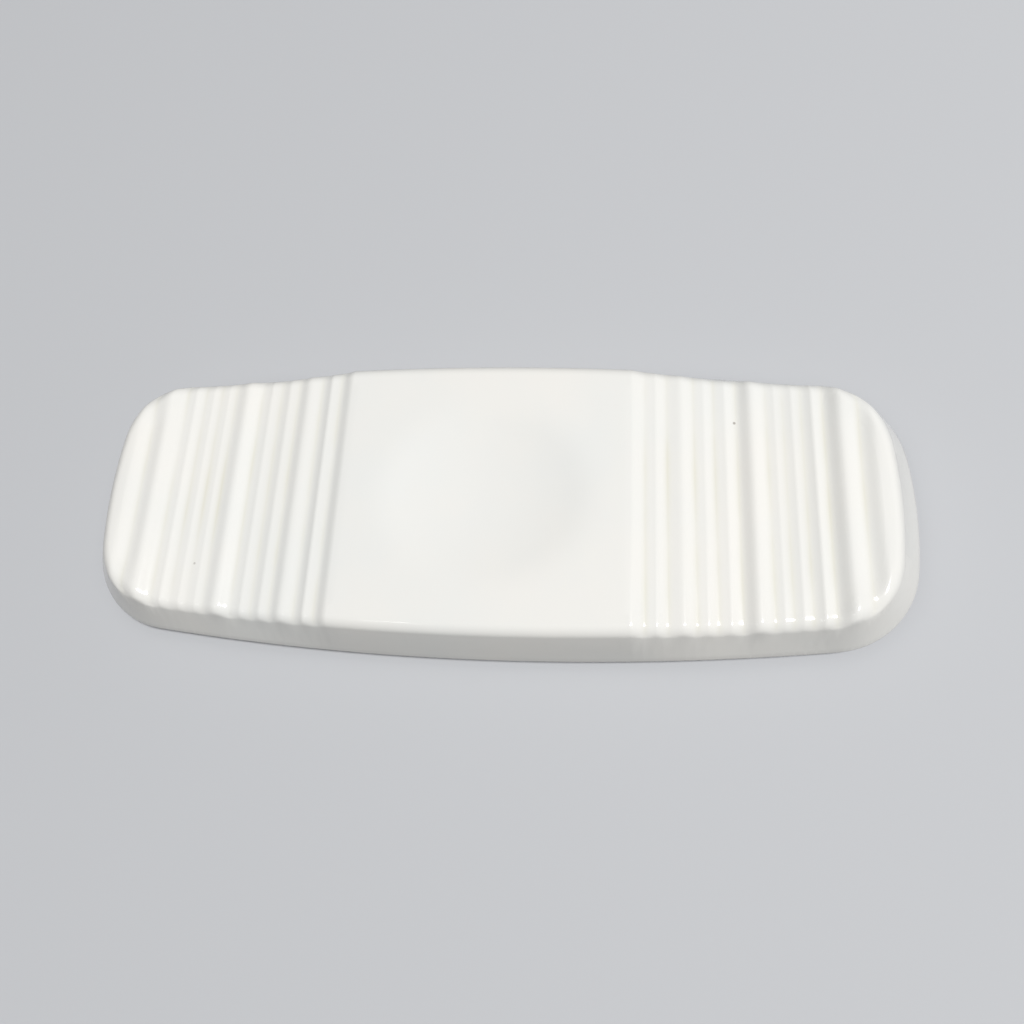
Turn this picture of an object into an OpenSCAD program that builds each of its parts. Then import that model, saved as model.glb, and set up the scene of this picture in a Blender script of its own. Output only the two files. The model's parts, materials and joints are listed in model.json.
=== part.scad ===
// Chopstick rest: a bowed porcelain bar with a smooth dished middle and a ribbed saddle at each end.

/* [Bar] */
// Length of the bar
bar_l = 90; // [76:1:120]
// Width of the bar at its middle
bar_w = 33.2; // [28:0.2:44]
// Height of the smooth middle above the table
bar_h = 6.9; // [6:0.1:10]
// Radius of the bowed long sides
side_r = 310; // [180:5:600]
// Radius of the bowed ends
end_r = 44; // [30:1:80]
// Radius of the corners at the bottom
corner_r = 9.8; // [8:0.1:12]
// Radius of the corners at the top
brow_r = 8.3; // [7:0.1:12]
// How far the long walls lean in on the way up
side_in = 1.7; // [0.6:0.1:2.4]
// How far the end walls lean in on the way up
end_in = 2.9; // [0.8:0.1:3.4]
// Radius of the rounded top edge
edge_r = 1.4; // [0.8:0.1:2]

/* [Middle] */
// Length of the smooth middle
middle_l = 30.4; // [26:0.2:34]
// Length of the shallow dish in the middle
dish_l = 25; // [18:0.5:26]
// Width of the dish
dish_w = 22; // [16:0.5:24]
// Depth of the dish
dish_h = 0.9; // [0.2:0.05:1.2]
// Share of the dish inside its soft rim
dish_bowl = 0.78; // [0.5:0.02:0.9]

/* [Ribbed ends] */
// Run from the smooth middle down to the first groove
first_run = 1.5; // [0.8:0.1:2.5]
// Width of each rib, from the middle outwards
rib_w = [2.3, 2.8, 2.1, 2.3, 3, 1.7, 1.8, 2.1, 3.3]; // [1.2:0.1:5]
// Depth of each groove floor under the middle
floor_h = [0.55, 0.9, 1.2, 1.4, 1.5, 1.25, 1.2, 1.1, 0.9, 0.5]; // [0.2:0.05:2]
// Depth of each rib crest under the middle
crest_h = [0.5, 0.75, 1.15, 1.3, 0.9, 1.15, 1.05, 0.8, 0.15]; // [0.1:0.05:2]
// Softness of each rib crest, from a narrow ridge to a full wave
crest_soft = [0.3, 1, 0.5, 0.3, 1, 0.3, 0.3, 0.3, 1]; // [0:0.1:1]
// Plain length kept beyond the last groove
end_l = 6.5; // [5:0.5:12]
// Run from the last groove up to the crest of the plain end
end_run = 1.6; // [1:0.1:3]
// Depth of that crest under the middle
end_h = 0; // [0:0.05:1.5]
// Fall from that crest to the tip
end_fall = 2.9; // [0.4:0.1:4]

/* [Foot] */
// How far the foot stands in from the wall above it
foot_in = 0.5; // [0.2:0.1:1]
// Width of the bare foot ring
foot_w = 3; // [2:0.2:5]
// Depth of the hollow inside the foot ring
hollow_h = 2; // [1.2:0.1:2.6]
// How far the wall of the hollow leans in on the way up
hollow_in = 0.8; // [0.3:0.1:1.5]

/* [Glaze] */
// Thickness of the fired glaze
glaze_t = 0.3; // [0.15:0.05:0.5]
// Height above the table where the outer glaze stops
outer_line = 0.9; // [0.5:0.1:1.5]
// Height above the table where the glaze in the hollow stops
hollow_line = 0.6; // [0.3:0.1:0.8]

/* [Hidden] */
half_l = bar_l / 2;
half_w = bar_w / 2;
half_m = middle_l / 2;

// Arcs of the bottom outline and of the brow, where the rounded top edge starts
foot_arcs = arcs(half_l, half_w, corner_r);
brow_arcs = arcs(half_l - end_in, half_w - side_in, brow_r);

// Tip of the flat top
tip_x = half_l - end_in - edge_r;

// Grooves that leave the plain end its length
groove_all = [for (i = [0:len(rib_w)]) half_m + first_run + run(rib_w, i)];
groove_x = [for (x = groove_all) if (x <= half_l - end_l + 0.01) x];
grooves = len(groove_x);
last_x = groove_x[grooves - 1];

// The top along the bar, as places and heights joined by half waves; crests have a softness too
rib_line = [
    for (i = [0:grooves - 1])
        each [[groove_x[i], bar_h - floor_h[i]], if (i < grooves - 1) crest(i)]
];
top_line = concat([[half_m, bar_h, 1]], rib_line, [[last_x + end_run, bar_h - end_h, 1]]);

// Steps along each half of the bar: the middle, each half wave of the ribs, the plain end
middle_n = 7;
wave_n = 3;
end_n = 14;
edge_n = 3;
dish_n = 10;
half_x = concat(
    [for (i = [0:middle_n - 1]) half_m * i / middle_n],
    [for (i = [0:len(rib_line) - 1], k = [0:wave_n - 1])
        top_line[i].x + (rib_line[i].x - top_line[i].x) * k / wave_n],
    [for (k = [0:end_n - 1]) last_x + (tip_x - last_x) * sin(90 * k / end_n)],
    [last_x + (tip_x - last_x) * sin(88)]
);
steps = concat([for (i = [len(half_x) - 1:-1:1]) -half_x[i]], half_x);
step_n = len(steps);
middle_a = len(half_x) - 1 - middle_n;
middle_b = len(half_x) - 1 + middle_n;

// Brow, foot and normal at each step, along the front and home along the back
back_side = [for (x = steps) station(x)];
around = concat(
    [for (q = back_side) [for (v = q) [v.x, -v.y]]],
    [for (i = [step_n - 1:-1:0]) back_side[i]]
);

// Insets of the foot ring and of the ceiling of the hollow
foot_o = glaze_t + foot_in;
hollow_o = foot_o + foot_w;
ceiling_o = hollow_o + hollow_in;
rim_o = hollow_o + hollow_in * hollow_line / hollow_h;

function run(widths, n) = n == 0 ? 0 : widths[n - 1] + run(widths, n - 1);

function crest(i) = [(groove_x[i] + groove_x[i + 1]) / 2, bar_h - crest_h[i], crest_soft[i]];

// Side, corner and end arc of an outline: centre, radius and the last normal x;
// the corner arc touches the other two from inside
function arcs(l, w, r) =
    let (
        side_c = [0, w - side_r],
        end_c = [l - end_r, 0],
        reach = end_c - side_c,
        d = norm(reach),
        along = ((side_r - r) ^ 2 - (end_r - r) ^ 2 + d ^ 2) / (2 * d),
        across = sqrt((side_r - r) ^ 2 - along ^ 2),
        corner_c = side_c + (along * reach + across * [reach.y, -reach.x]) / d
    )
    [
        [side_c, side_r, (corner_c - side_c).x / (side_r - r)],
        [corner_c, r, (corner_c - end_c).x / (end_r - r)],
        [end_c, end_r, 1]
    ];

// Normal x of an arc at a place on the edge of the flat top
function normal_x(arc, x) = (x - arc[0].x) / (arc[1] - edge_r);

// Points on the brow and the foot with the same normal, for a place on the edge of the flat top
function station(x) =
    let (
        u = abs(x),
        brow = [for (a = brow_arcs) if (normal_x(a, u) <= a[2]) a][0],
        nx = normal_x(brow, u),
        foot = [for (a = foot_arcs) if (nx <= a[2]) a][0],
        n = [nx, sqrt(1 - nx ^ 2)],
        side = x < 0 ? -1 : 1
    )
    [for (v = [brow[0] + brow[1] * n, foot[0] + foot[1] * n, n]) [side * v.x, v.y]];

// Height between a crest and the groove beside it
function half_wave(a, b, x) =
    let (
        top = is_undef(a[2]) ? b : a,
        low = is_undef(a[2]) ? a : b,
        t = (x - top.x) / (low.x - top.x),
        wave = (1 - cos(180 * t)) / 2,
        ridge = t * (2 - t)
    )
    top.y + (low.y - top.y) * (top[2] * wave + (1 - top[2]) * ridge);

// Height of the top at a distance from the middle of the bar, without the dish
function line_z(u) =
    let (crest_p = top_line[len(top_line) - 1])
    u <= half_m ? bar_h
    : u >= crest_p.x ? crest_p.y - end_fall * ((u - crest_p.x) / (half_l - crest_p.x)) ^ 2
    : [for (i = [0:len(top_line) - 2]) if (u >= top_line[i].x && u < top_line[i + 1].x)
        half_wave(top_line[i], top_line[i + 1], u)][0];

// Depth of the dish: a bowl that turns over into a soft rim
function dish_z(x, y) =
    let (r = 2 * norm([x / dish_l, y / dish_w]))
    dish_h * (r >= 1 ? 0 : r < dish_bowl ? 1 - r ^ 2 / dish_bowl : (1 - r) ^ 2 / (1 - dish_bowl));

function top_z(x, y) = line_z(abs(x)) - dish_z(x, y);

// A level ring, inset from the foot's outline
function flat_ring(inset, z) = [for (q = around) let (p = q[1] - inset * q[2]) [p.x, p.y, z]];

// A ring of the rounded edge, from where it meets the leaning wall to the flat top
function edge_ring(depth, share) = [
    for (q = around)
        let (
            r = edge_r - depth,
            reach = [(q[1] - q[0]) * q[2] + r, top_z(q[0].x, q[0].y) - edge_r - outer_line],
            lean = atan2(reach.x, reach.y) - asin(r / norm(reach)),
            a = lean + (90 - lean) * share,
            p = q[0] - (edge_r - r * cos(a)) * q[2]
        )
        [p.x, p.y, top_z(p.x, p.y) - edge_r + r * sin(a)]
];

// The wall and rounded edge at a depth inside the glazed surface, from the glaze line to the flat top
function skin(depth) = concat(
    [flat_ring(depth, outer_line)],
    [for (k = [0:edge_n]) edge_ring(depth, k / edge_n)]
);

// Points between the front and the back edge of the smooth middle
function middle_rows(ring, depth) = [
    for (j = [1:dish_n - 1], s = [middle_a:middle_b])
        let (p = ring[s], y = p.y * (1 - 2 * j / dish_n))
        [p.x, y, top_z(p.x, y) - depth]
];

function flipped(list) = [for (i = [len(list) - 1:-1:0]) list[i]];

// Two triangles on four points, split along the shorter diagonal
function quad(p, a, b, c, d) =
    norm(p[a] - p[c]) < norm(p[b] - p[d]) ? [[a, b, c], [a, c, d]] : [[a, b, d], [b, c, d]];

// Place in the point list of row j of the middle, at step s; the first and last rows are on the ring
function row_at(ring0, rows0, j, s) =
    j == 0 ? ring0 + s
    : j == dish_n ? ring0 + 2 * step_n - 1 - s
    : rows0 + (j - 1) * (middle_b - middle_a + 1) + s - middle_a;

// Lid over a ring in strips from front to back, with the rows of the middle where there are any
function lid(p, ring0, rows0) = [
    for (s = [0:step_n - 2])
        let (f = ring0 + s, b = ring0 + 2 * step_n - 1 - s)
        each is_undef(rows0) || s < middle_a - 1 || s > middle_b ? quad(p, f, b, b - 1, f + 1)
        : s == middle_a - 1 ? concat([[f, b, b - 1]], [for (j = [0:dish_n - 1])
            [f, row_at(ring0, rows0, j + 1, s + 1), row_at(ring0, rows0, j, s + 1)]])
        : s == middle_b ? concat([[f + 1, b, b - 1]], [for (j = [0:dish_n - 1])
            [f + 1, row_at(ring0, rows0, j, s), row_at(ring0, rows0, j + 1, s)]])
        : [for (j = [0:dish_n - 1]) each quad(p,
            row_at(ring0, rows0, j, s), row_at(ring0, rows0, j + 1, s),
            row_at(ring0, rows0, j + 1, s + 1), row_at(ring0, rows0, j, s + 1))]
];

// Closed solid on a stack of rings: a lid facing down on the first and one facing up on the last
module stack(rings, low_rows = [], high_rows = []) {
    m = 2 * step_n;
    n = len(rings);
    points = concat([for (r = rings) each r], low_rows, high_rows);
    low0 = len(low_rows) > 0 ? n * m : undef;
    high0 = len(high_rows) > 0 ? n * m + len(low_rows) : undef;
    walls = [
        for (k = [0:n - 2], i = [0:m - 1])
            let (a = k * m + i, b = k * m + (i + 1) % m)
            each quad(points, a, a + m, b + m, b)
    ];
    floor_lid = [for (t = lid(points, 0, low0)) flipped(t)];
    polyhedron(points, concat(walls, floor_lid, lid(points, (n - 1) * m, high0)));
}

// Fired body: ribbed top, leaning wall, bare foot ring round a hollow
module porcelain_body() {
    top = skin(glaze_t);
    color([0.93, 0.91, 0.87])
        stack(
            concat(
                [flat_ring(ceiling_o, hollow_h), flat_ring(hollow_o, 0), flat_ring(foot_o, 0)],
                top
            ),
            high_rows = middle_rows(top[edge_n + 1], glaze_t)
        );
}

// Glaze over the top and walls, down to its line above the foot
module outer_glaze() {
    under = skin(glaze_t);
    over = skin(0);
    color([0.96, 0.96, 0.95])
        stack(
            concat(flipped(under), over),
            low_rows = middle_rows(under[edge_n + 1], glaze_t),
            high_rows = middle_rows(over[edge_n + 1], 0)
        );
}

// Glaze on the ceiling and wall of the hollow
module hollow_glaze() {
    color([0.96, 0.96, 0.95])
        stack([
            flat_ring(ceiling_o + glaze_t, hollow_h - glaze_t),
            flat_ring(rim_o + glaze_t, hollow_line),
            flat_ring(rim_o, hollow_line),
            flat_ring(ceiling_o, hollow_h)
        ]);
}

porcelain_body();
outer_glaze();
hollow_glaze();
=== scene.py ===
import json
import math

import bmesh
import bpy
from mathutils import Matrix, Vector

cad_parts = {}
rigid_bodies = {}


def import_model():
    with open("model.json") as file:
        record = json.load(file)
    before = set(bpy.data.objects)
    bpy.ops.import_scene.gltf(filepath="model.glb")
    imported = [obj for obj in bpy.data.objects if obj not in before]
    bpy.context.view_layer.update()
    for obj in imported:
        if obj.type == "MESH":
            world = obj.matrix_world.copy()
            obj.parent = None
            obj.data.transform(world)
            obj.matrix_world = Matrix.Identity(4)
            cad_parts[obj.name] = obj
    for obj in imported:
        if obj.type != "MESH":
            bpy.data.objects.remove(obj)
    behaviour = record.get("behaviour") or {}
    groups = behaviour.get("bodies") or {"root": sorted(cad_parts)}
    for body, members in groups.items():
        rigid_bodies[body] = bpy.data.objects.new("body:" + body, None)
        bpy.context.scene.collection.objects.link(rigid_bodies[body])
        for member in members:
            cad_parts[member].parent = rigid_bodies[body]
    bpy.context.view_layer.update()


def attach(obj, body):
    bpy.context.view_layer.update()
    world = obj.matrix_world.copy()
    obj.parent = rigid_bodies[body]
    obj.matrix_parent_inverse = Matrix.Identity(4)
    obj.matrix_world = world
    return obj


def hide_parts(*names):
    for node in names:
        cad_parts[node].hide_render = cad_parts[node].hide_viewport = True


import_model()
bpy.ops.object.select_all(action="DESELECT")
mm = 0.001
tiny = 0.01 * mm  # nearer than this, two places are the same
cutNear = 0.002 * mm  # a cut takes over a vertex that lies this near
print("frame loaded")


# Outlines: a walk round the bar on side, corner and end arcs
bow = {"side": 310 * mm, "end": 44 * mm, "sideSteps": 34, "cornerSteps": 18, "endSteps": 14}
footEdge = {"halfLong": 45 * mm, "halfWide": 16.6 * mm, "corner": 9.8 * mm}
browEdge = {"halfLong": 41.51 * mm, "halfWide": 14.49 * mm, "corner": 7.8 * mm}


def arcsOf(edge):
    sideAt = Vector((0, edge["halfWide"] - bow["side"]))
    endAt = Vector((edge["halfLong"] - bow["end"], 0))
    sideReach = bow["side"] - edge["corner"]
    endReach = bow["end"] - edge["corner"]
    span = endAt - sideAt
    along = (sideReach**2 - endReach**2 + span.length_squared) / (2 * span.length)
    across = math.sqrt(sideReach**2 - along**2)
    cornerAt = sideAt + (along * span + across * Vector((span.y, -span.x))) / span.length
    sideTurn = math.asin((cornerAt - sideAt).x / sideReach)
    endTurn = math.acos((cornerAt - endAt).x / endReach)
    return sideAt, cornerAt, endAt, sideTurn, math.pi / 2 - sideTurn - endTurn, endTurn


def drawLoop(piece, name, edge, inset, height):
    sideAt, cornerAt, endAt, sideTurn, cornerTurn, endTurn = arcsOf(edge)
    corner = (cornerTurn, bow["cornerSteps"])
    walk = [
        (sideAt.x, sideAt.y, sideTurn, bow["sideSteps"]),
        (cornerAt.x, cornerAt.y, *corner),
        (endAt.x, 0, 2 * endTurn, 2 * bow["endSteps"]),
        (cornerAt.x, -cornerAt.y, *corner),
        (sideAt.x, -sideAt.y, 2 * sideTurn, 2 * bow["sideSteps"]),
        (-cornerAt.x, -cornerAt.y, *corner),
        (-endAt.x, 0, 2 * endTurn, 2 * bow["endSteps"]),
        (-cornerAt.x, cornerAt.y, *corner),
        (sideAt.x, sideAt.y, sideTurn, bow["sideSteps"]),
    ]
    bpy.ops.mesh.select_all(action="DESELECT")
    bpy.ops.mesh.primitive_plane_add(size=mm, location=(0, edge["halfWide"] - inset, height))
    bpy.ops.mesh.merge(type="CENTER")
    for x, y, turn, steps in walk:
        bpy.ops.mesh.spin(steps=steps, angle=turn, center=(x, y, height), axis=(0, 0, 1))
    bpy.ops.mesh.select_linked()
    bpy.ops.mesh.remove_doubles(threshold=tiny)  # closes the walk
    bpy.ops.object.vertex_group_assign_new()
    piece.vertex_groups.active.name = name


def newPiece(name):
    bpy.ops.object.select_all(action="DESELECT")
    bpy.ops.mesh.primitive_plane_add(size=mm)
    piece = bpy.context.object
    piece.name = piece.data.name = name
    bpy.ops.object.mode_set(mode="EDIT")
    bpy.ops.mesh.select_all(action="SELECT")
    bpy.ops.mesh.delete(type="VERT")
    return piece


def pickLoops(piece, *names):
    bpy.ops.mesh.select_mode(type="VERT")
    bpy.ops.mesh.select_all(action="DESELECT")
    for name in names:
        piece.vertex_groups.active_index = piece.vertex_groups[name].index
        bpy.ops.object.vertex_group_select()


def bridge(piece, *names):
    for first, second in zip(names, names[1:]):
        pickLoops(piece, first, second)
        bpy.ops.mesh.bridge_edge_loops()


def cover(piece, name):
    pickLoops(piece, name)
    bpy.ops.mesh.edge_face_add()


def roundOver(piece, height, wide, segments, sharp=0.3):
    bpy.ops.mesh.select_mode(type="EDGE")
    bpy.ops.mesh.select_all(action="DESELECT")
    mesh = bmesh.from_edit_mesh(piece.data)
    for edge in mesh.edges:
        level = all(abs(vert.co.z - height) < tiny for vert in edge.verts)
        edge.select_set(level and edge.calc_face_angle(0) > sharp)
    bmesh.update_edit_mesh(piece.data)
    bpy.ops.mesh.bevel(
        offset=wide, offset_type="OFFSET", segments=segments, affect="EDGES", clamp_overlap=False
    )


def pickVerts(piece, test):
    mesh = bmesh.from_edit_mesh(piece.data)
    for vert in mesh.verts:
        vert.select = not vert.hide and test(vert)
    mesh.select_flush(True)
    bmesh.update_edit_mesh(piece.data)


def pickFaces(piece, test):
    bpy.ops.mesh.select_mode(type="FACE")
    bpy.ops.mesh.select_all(action="DESELECT")
    mesh = bmesh.from_edit_mesh(piece.data)
    for face in mesh.faces:
        face.select_set(test(face))
    bmesh.update_edit_mesh(piece.data)


def insetLids(piece, height, widths):
    for wide in widths:
        mesh = bmesh.from_edit_mesh(piece.data)
        most = max(len(face.verts) for face in mesh.faces)
        pickFaces(
            piece,
            lambda face: len(face.verts) == most
            and abs(face.calc_center_median().z - height) < 10 * tiny,
        )
        bpy.ops.mesh.inset(thickness=wide, depth=0)


def sliceAt(places, normal, near=cutNear):
    for place in places:
        bpy.ops.mesh.select_all(action="SELECT")
        bpy.ops.mesh.bisect(plane_co=Vector(normal) * place, plane_no=normal, threshold=near)


# Ribs: places along each half of the bar and depths under the smooth middle, both in mm
ribs = {
    "line": [
        (15.2, 0), (16.7, 0.55), (17.85, 0.5), (19.0, 0.9), (20.4, 0.75), (21.8, 1.2),
        (22.85, 1.15), (23.9, 1.4), (25.05, 1.3), (26.2, 1.5), (27.7, 0.9), (29.2, 1.25),
        (30.05, 1.15), (30.9, 1.2), (31.8, 1.05), (32.7, 1.1), (33.75, 0.8), (34.8, 0.9),
        (36.45, 0.15), (38.1, 0.5), (39.7, 0.01),
    ],
    "soft": [1, 0.3, 1, 0.5, 0.3, 1, 0.3, 0.3, 0.3, 1, 1],  # crests, from a narrow ridge to a full wave
    "tipAt": 41.9 * mm,
    "tipFall": 0.5 * mm,
    "tipRun": 2.2 * mm,
    "squash": 0.001,  # flattens the bar while its waves are pulled, so they run straight across
}
cuts = {
    "middleStep": 0.8 * mm,
    "middleCount": 19,
    "tipFrom": 39.7,
    "tipStep": 0.25,
    "tipCount": 9,
    "rowStep": 0.85 * mm,
    "rowCount": 15,
    "wallNear": 0.02 * mm,
    "wallSpan": (2 * mm, 3 * mm),  # a wall face starts below the first and ends above the second
}
dish = {
    "deep": 1.1 * mm,
    "halfLong": 12.5 * mm,
    "halfWide": 11 * mm,
    "bowl": 0.883,  # shares of the half width
    "rim": (0.72, 1.08),
    "rimSmooth": 6,
    "centre": 0.05 * mm,
}
lastGroove = {
    "at": 38.1 * mm,
    "reach": 0.05 * mm,
    "fadeFrom": 9.8 * mm,  # from the middle line of the bar
    "below": 2 * mm,
    "lift": 0.17 * mm,
    "run": 2.4 * mm,
}
# Depth below the rim in mm, and how much of the ribs is left there
edgeKeep = [(0.05, 1.0), (0.2, 0.97), (0.4, 0.88), (0.6, 0.65), (0.8, 0.35), (1.6, 0.08)]


def ribSteps(keep):
    depths = [depth for place, depth in ribs["line"]]
    evened = [
        (depths[i - 1] + 2 * depths[i] + depths[i + 1]) / 4 if 0 < i < len(depths) - 1 else depths[i]
        for i in range(len(depths))
    ]
    places = [place for place, depth in ribs["line"]]
    steps = []
    for i in range(1, len(places)):
        run = (places[i] - places[i - 1]) * mm
        drop = keep * (depths[i - 1] - depths[i]) * mm
        slope = (1 - keep) * (evened[i - 1] - evened[i]) * mm
        soft = ribs["soft"][i // 2]
        ridge = "INVERSE_SQUARE" if i % 2 else "SHARP"  # down from a crest, or up to one
        steps.append((places[i] * mm, run, drop * soft, "SMOOTH"))
        if soft < 1:
            steps.append((places[i] * mm, run, drop * (1 - soft), ridge))
        if keep < 1:
            steps.append((places[i] * mm, run, slope, "LINEAR"))
    return steps


def pullZ(rise, run, falloff):
    bpy.ops.transform.translate(
        value=(0, 0, rise),
        use_proportional_edit=True,
        proportional_edit_falloff=falloff,
        proportional_size=run,
    )


def hideFaces(piece, test):
    pickFaces(piece, test)
    bpy.ops.mesh.hide(unselected=False)


def isWall(face):
    heights = [vert.co.z for vert in face.verts]
    low, high = cuts["wallSpan"]
    return min(heights) < low and max(heights) > high


def carveTop(piece, height, waveSteps):
    brow = height - edgeKeep[-1][0] * mm  # below the rounded edge
    places = [
        (a[0] + (b[0] - a[0]) * k / waveSteps) * mm
        for a, b in zip(ribs["line"], ribs["line"][1:])
        for k in range(waveSteps)
    ]
    middle = [cuts["middleStep"] * i for i in range(cuts["middleCount"])]
    tip = [(cuts["tipFrom"] + cuts["tipStep"] * k) * mm for k in range(cuts["tipCount"])]
    half = middle + places + tip
    across = [-place for place in half[:0:-1]] + half
    rows = [cuts["rowStep"] * k for k in range(-cuts["rowCount"], cuts["rowCount"] + 1)]
    hideFaces(piece, lambda face: min(vert.co.z for vert in face.verts) < brow)
    sliceAt(across, (1, 0, 0))
    hideFaces(piece, lambda face: min(vert.co.z for vert in face.verts) < height - tiny)
    sliceAt(rows, (0, 1, 0))
    bpy.ops.mesh.reveal(select=False)

    bpy.ops.mesh.select_mode(type="VERT")
    bpy.ops.mesh.select_all(action="SELECT")
    bpy.ops.transform.resize(value=(1, ribs["squash"], 1), center_override=(0, 0, 0))
    mesh = bmesh.from_edit_mesh(piece.data)
    depthOf = [(height - vert.co.z) / mm for vert in mesh.verts]
    above = -1.0
    for below, keep in edgeKeep:
        bpy.ops.mesh.reveal(select=False)
        pickVerts(piece, lambda vert: above < depthOf[vert.index] <= below)
        bpy.ops.mesh.hide(unselected=True)
        for place, run, drop, falloff in ribSteps(keep):
            pickVerts(piece, lambda vert: abs(vert.co.x) > place - tiny)
            pullZ(drop, run, falloff)
        above = below
    bpy.ops.mesh.reveal(select=False)
    pickVerts(piece, lambda vert: depthOf[vert.index] > edgeKeep[-1][0])
    bpy.ops.mesh.hide(unselected=False)
    pickVerts(piece, lambda vert: abs(vert.co.x) > ribs["tipAt"])
    pullZ(-ribs["tipFall"], ribs["tipRun"], "SHARP")
    bpy.ops.mesh.reveal(select=False)
    bpy.ops.mesh.select_all(action="SELECT")
    bpy.ops.transform.resize(value=(1, 1 / ribs["squash"], 1), center_override=(0, 0, 0))

    # The walls get the cuts of the top, so that their shading is as even
    hideFaces(piece, lambda face: not isWall(face))
    sliceAt(across, (1, 0, 0), cuts["wallNear"])
    bpy.ops.mesh.reveal(select=False)
    bpy.ops.mesh.select_mode(type="VERT")
    pickVerts(
        piece,
        lambda vert: abs(abs(vert.co.x) - lastGroove["at"]) < lastGroove["reach"]
        and abs(vert.co.y) > lastGroove["fadeFrom"]
        and vert.co.z > height - lastGroove["below"],
    )
    pullZ(lastGroove["lift"], lastGroove["run"], "SMOOTH")

    # The dish is pulled as a round bowl in a squeezed bar, then its rim is softened
    squeeze = dish["halfWide"] / dish["halfLong"]
    bpy.ops.mesh.select_all(action="SELECT")
    bpy.ops.transform.resize(value=(squeeze, 1, 1), center_override=(0, 0, 0))
    pickVerts(
        piece,
        lambda vert: vert.co.xy.length < dish["centre"] and vert.co.z > height - dish["centre"],
    )
    pullZ(-dish["deep"], dish["bowl"] * dish["halfWide"], "INVERSE_SQUARE")
    near, far = (share * dish["halfWide"] for share in dish["rim"])
    pickVerts(piece, lambda vert: near < vert.co.xy.length < far and vert.co.z > height - dish["deep"])
    bpy.ops.mesh.vertices_smooth(factor=0.5, repeat=dish["rimSmooth"], xaxis=False, yaxis=False)
    bpy.ops.mesh.select_all(action="SELECT")
    bpy.ops.transform.resize(value=(1 / squeeze, 1, 1), center_override=(0, 0, 0))


def finishPiece(piece, angle):
    bpy.ops.mesh.reveal(select=False)
    bpy.ops.mesh.select_all(action="SELECT")
    bpy.ops.mesh.normals_make_consistent(inside=False)
    bpy.ops.object.mode_set(mode="OBJECT")
    bpy.ops.object.vertex_group_remove(all=True)
    bpy.ops.object.shade_smooth_by_angle(angle=math.radians(angle))


def thicken(piece, deep, side):
    modifier = piece.modifiers.new("thickness", "SOLIDIFY")
    modifier.thickness = deep
    modifier.offset = side
    bpy.ops.object.modifier_apply(modifier=modifier.name)


# Where the glaze runs together: level places near the floor of a groove
pools = {"level": 0.6, "halfWide": 0.7 * mm}


def markPools(piece):
    floors = [place * mm for place, depth in ribs["line"][1::2]]
    pool = piece.data.attributes.new("pool", "FLOAT", "POINT")
    for vert, mark in zip(piece.data.vertices, pool.data):
        off = min(abs(abs(vert.co.x) - floor) for floor in floors)
        facing = max(0.0, vert.normal.z - pools["level"]) / (1 - pools["level"])
        mark.value = facing * max(0.0, 1 - off / pools["halfWide"]) ** 2


def dress(piece, material, slot, *nodes):
    piece.data.materials.clear()
    piece.data.materials.append(material)
    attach(piece, "root")
    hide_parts(*nodes)


def addNode(tree, kind, **values):
    node = tree.nodes.new(kind)
    for name, value in values.items():
        if hasattr(node, name):
            setattr(node, name, value)
        else:
            node.inputs[name.replace("_", " ")].default_value = value
    return node


def newGroup(name, inputs, outputs):
    tree = bpy.data.node_groups.new(name, "ShaderNodeTree")
    for socket, kind in inputs:
        tree.interface.new_socket(socket, in_out="INPUT", socket_type=kind)
    for socket, kind in outputs:
        tree.interface.new_socket(socket, in_out="OUTPUT", socket_type=kind)
    return tree, tree.nodes.new("NodeGroupInput"), tree.nodes.new("NodeGroupOutput")


# Mottle: two colours mixed by soft clouds, with a fine relief
mottle, mottleIn, mottleOut = newGroup(
    "mottle",
    [
        ("Vector", "NodeSocketVector"),
        ("Colour A", "NodeSocketColor"),
        ("Colour B", "NodeSocketColor"),
        ("Cloud Scale", "NodeSocketFloat"),
        ("Relief Scale", "NodeSocketFloat"),
        ("Relief Depth", "NodeSocketFloat"),
    ],
    [("Colour", "NodeSocketColor"), ("Cloud", "NodeSocketFloat"), ("Normal", "NodeSocketVector")],
)
cloud = addNode(mottle, "ShaderNodeTexNoise", Detail=3.0, Roughness=0.55)
relief = addNode(mottle, "ShaderNodeTexNoise", Detail=2.0, Roughness=0.5)
spread = addNode(mottle, "ShaderNodeMapRange", From_Min=0.3, From_Max=0.7)
blend = addNode(mottle, "ShaderNodeMix", data_type="RGBA")
bump = addNode(mottle, "ShaderNodeBump", Strength=1.0)
link = mottle.links.new
link(mottleIn.outputs["Vector"], cloud.inputs["Vector"])
link(mottleIn.outputs["Cloud Scale"], cloud.inputs["Scale"])
link(mottleIn.outputs["Vector"], relief.inputs["Vector"])
link(mottleIn.outputs["Relief Scale"], relief.inputs["Scale"])
link(cloud.outputs["Fac"], spread.inputs["Value"])
link(spread.outputs["Result"], blend.inputs["Factor"])
link(mottleIn.outputs["Colour A"], blend.inputs[6])
link(mottleIn.outputs["Colour B"], blend.inputs[7])
link(relief.outputs["Fac"], bump.inputs["Height"])
link(mottleIn.outputs["Relief Depth"], bump.inputs["Distance"])
link(blend.outputs[2], mottleOut.inputs["Colour"])
link(spread.outputs["Result"], mottleOut.inputs["Cloud"])
link(bump.outputs["Normal"], mottleOut.inputs["Normal"])

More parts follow.
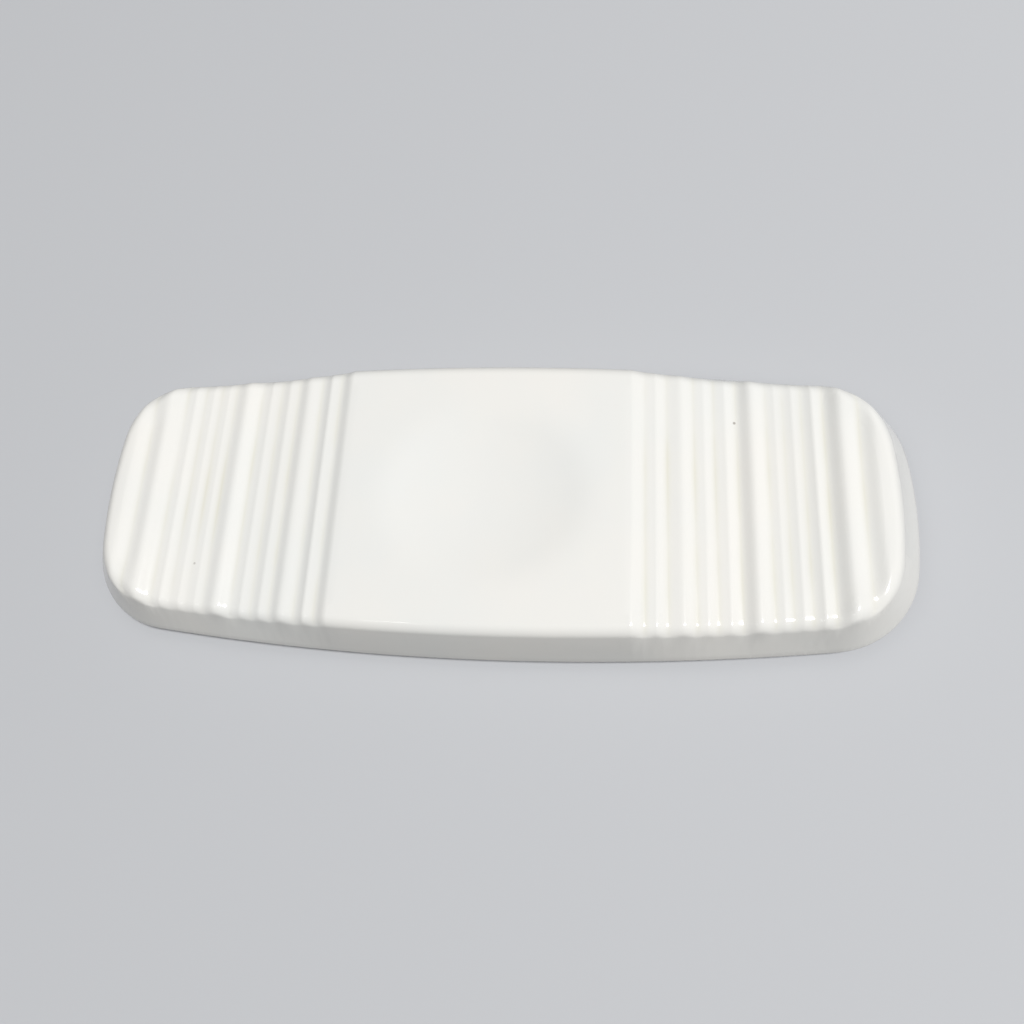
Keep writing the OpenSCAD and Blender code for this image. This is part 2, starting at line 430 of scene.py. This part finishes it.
# Specks: sparse pinholes, and two at set places on the top with their width in mm and strength
pinholes = {
    "perMetre": 48.0,
    "above": 0.86,  # cells with a higher draw than this have one
    "core": 0.0035,
    "edge": 0.007,
    "placed": [((26.0, 8.5, 5.41), 0.19, 1.0), ((-30.75, -8.05, 5.7), 0.17, 0.6)],
}
specks, specksIn, specksOut = newGroup(
    "specks", [("Vector", "NodeSocketVector")], [("Mask", "NodeSocketFloat")]
)
cells = addNode(specks, "ShaderNodeTexVoronoi", Scale=pinholes["perMetre"])
pick = addNode(specks, "ShaderNodeSeparateColor")
rare = addNode(specks, "ShaderNodeMath", operation="GREATER_THAN")
rare.inputs[1].default_value = pinholes["above"]
dot = addNode(
    specks,
    "ShaderNodeMapRange",
    From_Min=pinholes["core"],
    From_Max=pinholes["edge"],
    To_Min=1.0,
    To_Max=0.0,
)
masks = [addNode(specks, "ShaderNodeMath", operation="MULTIPLY")]
link = specks.links.new
link(specksIn.outputs["Vector"], cells.inputs["Vector"])
link(cells.outputs["Color"], pick.inputs["Color"])
link(pick.outputs["Red"], rare.inputs[0])
link(cells.outputs["Distance"], dot.inputs["Value"])
link(rare.outputs["Value"], masks[0].inputs[0])
link(dot.outputs["Result"], masks[0].inputs[1])
for (x, y, z), wide, strong in pinholes["placed"]:
    gap = addNode(specks, "ShaderNodeVectorMath", operation="DISTANCE")
    gap.inputs[1].default_value = (x * mm, y * mm, z * mm)
    fade = addNode(specks, "ShaderNodeMapRange", To_Min=strong, To_Max=0.0)
    fade.inputs["From Min"].default_value = 0.5 * wide * mm
    fade.inputs["From Max"].default_value = wide * mm
    most = addNode(specks, "ShaderNodeMath", operation="MAXIMUM")
    link(specksIn.outputs["Vector"], gap.inputs[0])
    link(gap.outputs["Value"], fade.inputs["Value"])
    link(fade.outputs["Result"], most.inputs[0])
    link(masks[-1].outputs["Value"], most.inputs[1])
    masks.append(most)
link(masks[-1].outputs["Value"], specksOut.inputs["Mask"])


def newMaterial(name):
    material = bpy.data.materials.new(name)
    material.use_nodes = True
    tree = material.node_tree
    return material, tree, tree.nodes["Principled BSDF"], tree.links.new


def addGroup(tree, group, **values):
    node = addNode(tree, "ShaderNodeGroup", node_tree=group)
    for name, value in values.items():
        node.inputs[name.replace("_", " ")].default_value = value
    return node


# Glaze: glossy warm white, a little yellower where it pools in the grooves
glazeLook = {
    "cool": (0.835, 0.84, 0.815, 1),
    "warm": (0.87, 0.855, 0.815, 1),
    "pooled": (0.76, 0.74, 0.62, 1),
    "speck": (0.30, 0.27, 0.24, 1),
    "poolShare": 0.35,
    "speckShare": 0.75,
    "cloudScale": 60.0,
    "reliefScale": 260.0,
    "reliefDepth": 0.03 * mm,
    "streakScale": 90.0,
    "rough": (0.1, 0.16),
}
glazeMaterial, tree, shader, link = newMaterial("glazeWhite")
where = addNode(tree, "ShaderNodeTexCoord")
skin = addGroup(
    tree,
    mottle,
    Colour_A=glazeLook["cool"],
    Colour_B=glazeLook["warm"],
    Cloud_Scale=glazeLook["cloudScale"],
    Relief_Scale=glazeLook["reliefScale"],
    Relief_Depth=glazeLook["reliefDepth"],
)
pits = addGroup(tree, specks)
poolMark = addNode(tree, "ShaderNodeAttribute", attribute_name="pool")
streak = addNode(tree, "ShaderNodeTexNoise", Scale=glazeLook["streakScale"], Detail=2.0)
poolShare = addNode(tree, "ShaderNodeMath", operation="MULTIPLY")
poolAmount = addNode(tree, "ShaderNodeMapRange", From_Min=0.35, From_Max=0.75, To_Min=0.0)
poolAmount.inputs["To Max"].default_value = 2 * glazeLook["poolShare"]
pooled = addNode(tree, "ShaderNodeMix", data_type="RGBA")
pooled.inputs[7].default_value = glazeLook["pooled"]
speckShare = addNode(tree, "ShaderNodeMath", operation="MULTIPLY")
speckShare.inputs[1].default_value = glazeLook["speckShare"]
specked = addNode(tree, "ShaderNodeMix", data_type="RGBA")
specked.inputs[7].default_value = glazeLook["speck"]
gloss = addNode(
    tree, "ShaderNodeMapRange", To_Min=glazeLook["rough"][0], To_Max=glazeLook["rough"][1]
)
link(where.outputs["Object"], skin.inputs["Vector"])
link(where.outputs["Object"], pits.inputs["Vector"])
link(where.outputs["Object"], streak.inputs["Vector"])
link(streak.outputs["Fac"], poolAmount.inputs["Value"])
link(poolMark.outputs["Fac"], poolShare.inputs[0])
link(poolAmount.outputs["Result"], poolShare.inputs[1])
link(poolShare.outputs["Value"], pooled.inputs["Factor"])
link(skin.outputs["Colour"], pooled.inputs[6])
link(pits.outputs["Mask"], speckShare.inputs[0])
link(speckShare.outputs["Value"], specked.inputs["Factor"])
link(pooled.outputs[2], specked.inputs[6])
link(specked.outputs[2], shader.inputs["Base Color"])
link(skin.outputs["Cloud"], gloss.inputs["Value"])
link(gloss.outputs["Result"], shader.inputs["Roughness"])
link(skin.outputs["Normal"], shader.inputs["Normal"])

# Bisque: the bare fired body of the foot, matt and a little grainy
bisqueLook = {
    "pale": (0.74, 0.71, 0.65, 1),
    "toned": (0.66, 0.62, 0.55, 1),
    "cloudScale": 420.0,
    "reliefScale": 5200.0,
    "reliefDepth": 0.02 * mm,
    "rough": (0.72, 0.88),
}
bisqueMaterial, tree, shader, link = newMaterial("bisqueBare")
where = addNode(tree, "ShaderNodeTexCoord")
skin = addGroup(
    tree,
    mottle,
    Colour_A=bisqueLook["pale"],
    Colour_B=bisqueLook["toned"],
    Cloud_Scale=bisqueLook["cloudScale"],
    Relief_Scale=bisqueLook["reliefScale"],
    Relief_Depth=bisqueLook["reliefDepth"],
)
chalk = addNode(
    tree, "ShaderNodeMapRange", To_Min=bisqueLook["rough"][0], To_Max=bisqueLook["rough"][1]
)
link(where.outputs["Object"], skin.inputs["Vector"])
link(skin.outputs["Colour"], shader.inputs["Base Color"])
link(skin.outputs["Cloud"], chalk.inputs["Value"])
link(chalk.outputs["Result"], shader.inputs["Roughness"])
link(skin.outputs["Normal"], shader.inputs["Normal"])
print("materials made")

# Glaze over the top and walls
coat = {
    "height": 6.9 * mm,
    "line": 1.2 * mm,
    "bulge": 0.09 * mm,
    "lip": 0.7 * mm,
    "under": 0.35 * mm,
    "thick": 0.28 * mm,
    "edge": (0.95 * mm, 8),  # width and segments of the rounding
    "lineEdge": (0.38 * mm, 5),
    "lidInsets": (0.3 * mm, 0.6 * mm),
    "waveSteps": 6,
    "wallCuts": (2.2 * mm, 3.2 * mm),
    "smoothAngle": 60,
}
glazeCoat = newPiece("glazeCoat")
drawLoop(glazeCoat, "lip", footEdge, coat["under"], coat["lip"])
drawLoop(glazeCoat, "line", footEdge, -coat["bulge"], coat["line"])
drawLoop(glazeCoat, "brow", browEdge, 0, coat["height"])
bridge(glazeCoat, "lip", "line", "brow")
cover(glazeCoat, "brow")
roundOver(glazeCoat, coat["height"], *coat["edge"])
roundOver(glazeCoat, coat["line"], *coat["lineEdge"])
insetLids(glazeCoat, coat["height"], coat["lidInsets"])
carveTop(glazeCoat, coat["height"], coat["waveSteps"])
sliceAt(coat["wallCuts"], (0, 0, 1))
finishPiece(glazeCoat, coat["smoothAngle"])
thicken(glazeCoat, coat["thick"], -1)
markPools(glazeCoat)
dress(glazeCoat, glazeMaterial, "glaze", "outer_glaze")
print("glaze coat", len(glazeCoat.data.vertices))

# Fired body: the ribbed top under the glaze, the bare foot ring and the hollow
body = {
    "height": 6.6 * mm,
    "line": 0.9 * mm,
    "inset": 0.3 * mm,
    "edge": (0.75 * mm, 5),
    "lidInsets": (0.3 * mm,),
    "waveSteps": 3,
    "smoothAngle": 40,
}
foot = {
    "outer": 0.8 * mm,
    "inner": 3.8 * mm,
    "ceilingInset": 4.6 * mm,
    "ceiling": 2.0 * mm,
    "edge": (0.25 * mm, 4),
}
bisqueBody = newPiece("bisqueBody")
drawLoop(bisqueBody, "ceiling", footEdge, foot["ceilingInset"], foot["ceiling"])
drawLoop(bisqueBody, "inner", footEdge, foot["inner"], 0)
drawLoop(bisqueBody, "outer", footEdge, foot["outer"], 0)
drawLoop(bisqueBody, "line", footEdge, body["inset"], body["line"])
drawLoop(bisqueBody, "brow", browEdge, body["inset"], body["height"])
bridge(bisqueBody, "ceiling", "inner", "outer", "line", "brow")
cover(bisqueBody, "ceiling")
cover(bisqueBody, "brow")
roundOver(bisqueBody, body["height"], *body["edge"])
roundOver(bisqueBody, 0, *foot["edge"])
insetLids(bisqueBody, body["height"], body["lidInsets"])
carveTop(bisqueBody, body["height"], body["waveSteps"])
finishPiece(bisqueBody, body["smoothAngle"])
dress(bisqueBody, bisqueMaterial, "porcelain", "porcelain_body")
print("bisque body", len(bisqueBody.data.vertices))

# Glaze on the ceiling and wall of the hollow
cup = {
    "rimInset": 4.32 * mm,
    "rim": 0.6 * mm,
    "topInset": 4.88 * mm,
    "top": 1.72 * mm,
    "thick": 0.26 * mm,
    "edge": (0.5 * mm, 5),
    "lidInsets": (0.4 * mm, 1.0 * mm),
    "smoothAngle": 60,
}
hollowGlaze = newPiece("hollowGlaze")
drawLoop(hollowGlaze, "rim", footEdge, cup["rimInset"], cup["rim"])
drawLoop(hollowGlaze, "top", footEdge, cup["topInset"], cup["top"])
bridge(hollowGlaze, "rim", "top")
cover(hollowGlaze, "top")
roundOver(hollowGlaze, cup["top"], *cup["edge"])
insetLids(hollowGlaze, cup["top"], cup["lidInsets"])
finishPiece(hollowGlaze, cup["smoothAngle"])
thicken(hollowGlaze, cup["thick"], 1)
dress(hollowGlaze, glazeMaterial, "glaze", "hollow_glaze")
print("hollow glaze", len(hollowGlaze.data.vertices))


def seenRays(tree):
    path = addNode(tree, "ShaderNodeLightPath")
    mirrored = addNode(tree, "ShaderNodeMath", operation="ADD")
    seen = addNode(tree, "ShaderNodeMath", operation="ADD", use_clamp=True)
    tree.links.new(path.outputs["Is Glossy Ray"], mirrored.inputs[0])
    tree.links.new(path.outputs["Is Transmission Ray"], mirrored.inputs[1])
    tree.links.new(path.outputs["Is Camera Ray"], seen.inputs[0])
    tree.links.new(mirrored.outputs["Value"], seen.inputs[1])
    return seen.outputs["Value"]


# Floor: pale to look at, but it throws little light on the walls
floor = {
    "size": 3.0,
    "colour": (0.545, 0.555, 0.575, 1),
    "bounce": (0.03, 0.03, 0.03, 1),
    "rough": 0.8,
}
bpy.ops.mesh.primitive_plane_add(size=floor["size"])
ground = bpy.context.object
ground.name = "ground"
groundMaterial, tree, shader, link = newMaterial("groundPale")
tone = addNode(tree, "ShaderNodeMix", data_type="RGBA")
tone.inputs[6].default_value = floor["bounce"]
tone.inputs[7].default_value = floor["colour"]
link(seenRays(tree), tone.inputs["Factor"])
link(tone.outputs[2], shader.inputs["Base Color"])
shader.inputs["Roughness"].default_value = floor["rough"]
ground.data.materials.append(groundMaterial)

# Lamps: one key from the right, and a small one for the glints on the left
lamps = {
    "keyLamp": {"from": (0.37, -0.05, 0.92), "far": 1.2, "size": 0.22, "watts": 12.7},
    "sparkLamp": {"from": (-0.28, -0.42, 0.85), "far": 0.6, "size": 0.03, "watts": 0.05},
}
for name, lamp in lamps.items():
    place = Vector(lamp["from"]).normalized() * lamp["far"]
    bpy.ops.object.light_add(type="AREA", location=place)
    light = bpy.context.object
    light.name = name
    light.rotation_mode = "QUATERNION"
    light.rotation_quaternion = (-place).to_track_quat("-Z", "Y")
    light.data.size = lamp["size"]
    light.data.energy = lamp["watts"]

# Sky: brighter overhead, and even and pale where it is seen
sky = {"low": 0.03, "high": 0.24, "highFrom": 0.9, "seen": 0.8, "colour": (1, 1, 1, 1)}
world = bpy.data.worlds.new("studio")
world.use_nodes = True
tree = world.node_tree
link = tree.links.new
where = addNode(tree, "ShaderNodeTexCoord")
split = addNode(tree, "ShaderNodeSeparateXYZ")
rise = addNode(
    tree,
    "ShaderNodeMapRange",
    From_Min=0.0,
    From_Max=sky["highFrom"],
    To_Min=sky["low"],
    To_Max=sky["high"],
)
choose = addNode(tree, "ShaderNodeMix", B=sky["seen"])
link(where.outputs["Generated"], split.inputs["Vector"])
link(split.outputs["Z"], rise.inputs["Value"])
link(seenRays(tree), choose.inputs["Factor"])
link(rise.outputs["Result"], choose.inputs["A"])
link(choose.outputs["Result"], tree.nodes["Background"].inputs["Strength"])
tree.nodes["Background"].inputs["Color"].default_value = sky["colour"]
bpy.context.scene.world = world
bpy.context.scene.view_settings.view_transform = "Standard"

# Camera: near above the front of the bar
shot = {
    "from": Vector((12.088, -24.694, 80.886)) * mm,
    "to": Vector((2.734, -0.794, 3.0)) * mm,
    "roll": -19.445,
    "lens": 26.72,
    "sensor": 36,
    "shift": -1 / 1024,
    "clip": (1 * mm, 10),
}
bpy.ops.object.camera_add(location=shot["from"])
camera = bpy.context.object
camera.name = "photoCamera"
camera.rotation_mode = "QUATERNION"
level = (shot["to"] - shot["from"]).to_track_quat("-Z", "Y").to_matrix()
roll = Matrix.Rotation(math.radians(shot["roll"]), 3, "Z")
camera.rotation_quaternion = (level @ roll).to_quaternion()
camera.data.lens = shot["lens"]
camera.data.sensor_width = shot["sensor"]
camera.data.shift_y = shot["shift"]
camera.data.clip_start, camera.data.clip_end = shot["clip"]
bpy.context.scene.camera = camera
print("stage set")
